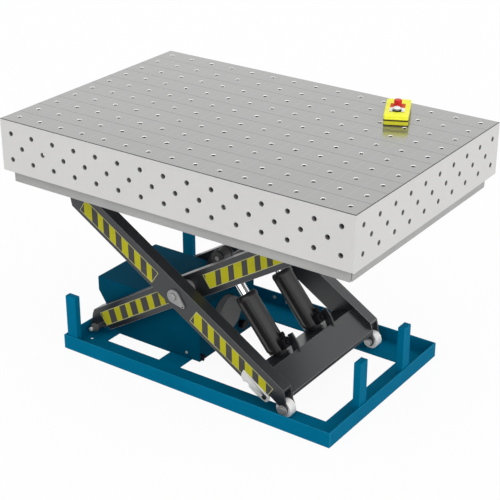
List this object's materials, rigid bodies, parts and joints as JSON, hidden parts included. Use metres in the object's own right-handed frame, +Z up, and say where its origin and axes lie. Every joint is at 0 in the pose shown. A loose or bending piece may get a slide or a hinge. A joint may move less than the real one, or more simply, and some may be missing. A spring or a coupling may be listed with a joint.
{
  "type": "height adjustable welding table",
  "caption": "Perforated box-shaped welding table on a hydraulic scissor lift with a tray base, power unit, service prop and hand pendant.",
  "frame": {"origin": "on the floor, under the middle of the table top", "axes": "+X along the long side of the table, +Y to its back, +Z up"},
  "size_m": [1.5, 1, 1.029],
  "materials": {
    "table_steel": "fine blasted plate",
    "deck_paint": "light grey paint",
    "arm_paint": "dark satin paint",
    "base_paint": "blue paint",
    "unit_paint": "dark blue paint",
    "motor_paint": "grey paint",
    "pin_steel": "turned steel",
    "cylinder_paint": "grey paint",
    "valve_black": "black",
    "rod_chrome": "polished rod",
    "roller_plastic": "off-white",
    "prop_grey": "light grey",
    "pendant_yellow": "yellow",
    "button_red": "red",
    "button_white": "white",
    "plate_orange": "orange"
  },
  "bodies": {
    "base": {"wall_front": "base_paint", "wall_back": "base_paint", "wall_left": "base_paint", "wall_right": "base_paint", "floor_strip_front": "base_paint", "floor_strip_back": "base_paint", "floor_strip_right": "base_paint", "floor_pan": "base_paint", "posts_left": "base_paint", "posts_right": "base_paint", "pivot_lugs": "base_paint", "pivot_shaft": "pin_steel", "power_unit_cover": "unit_paint", "pump_motor": "motor_paint", "pump_fittings": "valve_black"},
    "inner_arms": {"inner_arm_front": "arm_paint", "inner_arm_back": "arm_paint", "torque_tube": "arm_paint", "rod_brackets": "arm_paint", "centre_bushes": "pin_steel", "upper_axles": "pin_steel"},
    "outer_arms": {"outer_arm_front": "arm_paint", "outer_arm_back": "arm_paint", "cross_plate": "arm_paint", "foot_clevises": "arm_paint", "foot_pins": "pin_steel", "centre_pins": "pin_steel", "pin_flags": "pin_steel", "lower_axles": "pin_steel", "prop_pin": "pin_steel"},
    "platform": {"platform_deck": "deck_paint", "platform_rim_front": "deck_paint", "platform_rim_back": "deck_paint", "platform_rim_left": "deck_paint", "platform_rim_right": "deck_paint", "hinge_lugs": "deck_paint", "hinge_pins": "pin_steel", "roller_rails": "deck_paint", "table_top": "table_steel", "table_front": "table_steel", "table_back": "table_steel", "table_left": "table_steel", "table_right": "table_steel", "table_ribs": "table_steel", "pendant_base": "pendant_yellow", "pendant_lid": "pendant_yellow", "button_plates": "plate_orange"},
    "prop": {"service_prop": "prop_grey"},
    "red": {"red_button": "button_red"},
    "white": {"white_button": "button_white"},
    "barrel_front": {"barrel_front": "cylinder_paint", "cylinder_valve_front": "valve_black"},
    "barrel_back": {"barrel_back": "cylinder_paint", "cylinder_valve_back": "valve_black"},
    "rod_front": {"rod_front": "rod_chrome"},
    "rod_back": {"rod_back": "rod_chrome"},
    "lower_roller_front": {"lower_roller_front": "roller_plastic"},
    "lower_roller_back": {"lower_roller_back": "roller_plastic"},
    "upper_roller_front": {"upper_roller_front": "roller_plastic"},
    "upper_roller_back": {"upper_roller_back": "roller_plastic"}
  },
  "joints": [
    {"name": "lift", "type": "hinge", "parent": "base", "child": "inner_arms", "pos_m": [-0.5778, 0, 0.039], "axis": [0, -1, 0], "range_deg": [-25.8, 4.2]},
    {"name": "scissor", "type": "hinge", "parent": "inner_arms", "child": "outer_arms", "pos_m": [-0.09998, 0, 0.35887], "axis": [0, -1, 0], "range_deg": [-8.41, 51.61]},
    {"name": "platform_tilt", "type": "hinge", "parent": "outer_arms", "child": "platform", "pos_m": [-0.5778, 0, 0.67874], "axis": [0, -1, 0], "range_deg": [-25.81, 4.21]},
    {"name": "cylinder_front", "type": "hinge", "parent": "outer_arms", "child": "barrel_front", "pos_m": [0.23999, -0.118, 0.10938], "axis": [0, -1, 0], "range_deg": [-0.133, 0.766]},
    {"name": "stroke_front", "type": "slide", "parent": "barrel_front", "child": "rod_front", "axis": [-0.6249, 0, 0.7807], "range_m": [-0.10052, 0.01645]},
    {"name": "cylinder_back", "type": "hinge", "parent": "outer_arms", "child": "barrel_back", "pos_m": [0.23999, 0.118, 0.10938], "axis": [0, -1, 0], "range_deg": [-0.133, 0.766]},
    {"name": "stroke_back", "type": "slide", "parent": "barrel_back", "child": "rod_back", "axis": [-0.6249, 0, 0.7807], "range_m": [-0.10052, 0.01645]},
    {"name": "lower_roller_front_spin", "type": "hinge", "parent": "outer_arms", "child": "lower_roller_front", "pos_m": [0.37783, -0.305, 0.039], "axis": [0, 1, 0], "continuous": true},
    {"name": "lower_roller_back_spin", "type": "hinge", "parent": "outer_arms", "child": "lower_roller_back", "pos_m": [0.37783, 0.305, 0.039], "axis": [0, 1, 0], "continuous": true},
    {"name": "upper_roller_front_spin", "type": "hinge", "parent": "inner_arms", "child": "upper_roller_front", "pos_m": [0.37783, -0.22, 0.67874], "axis": [0, 1, 0], "continuous": true},
    {"name": "upper_roller_back_spin", "type": "hinge", "parent": "inner_arms", "child": "upper_roller_back", "pos_m": [0.37783, 0.22, 0.67874], "axis": [0, 1, 0], "continuous": true},
    {"name": "prop_swing", "type": "hinge", "parent": "outer_arms", "child": "prop", "pos_m": [0.30468, -0.3333, 0.07353], "axis": [0, 1, 0], "range_deg": [0, 100]},
    {"name": "red_press", "type": "slide", "parent": "platform", "child": "red", "axis": [0, 0, 1], "range_m": [-0.004, 0]},
    {"name": "white_press", "type": "slide", "parent": "platform", "child": "white", "axis": [0, 0, 1], "range_m": [-0.003, 0]}
  ],
  "couplings": [
    {"joint": "scissor", "follows": "lift", "ratio": -2},
    {"joint": "platform_tilt", "follows": "lift", "ratio": 1},
    {"joint": "cylinder_front", "follows": "lift", "ratio": -0.0293},
    {"joint": "stroke_front", "follows": "lift", "m_per_rad": 0.223},
    {"joint": "cylinder_back", "follows": "lift", "ratio": -0.0293},
    {"joint": "stroke_back", "follows": "lift", "m_per_rad": 0.223}
  ]
}
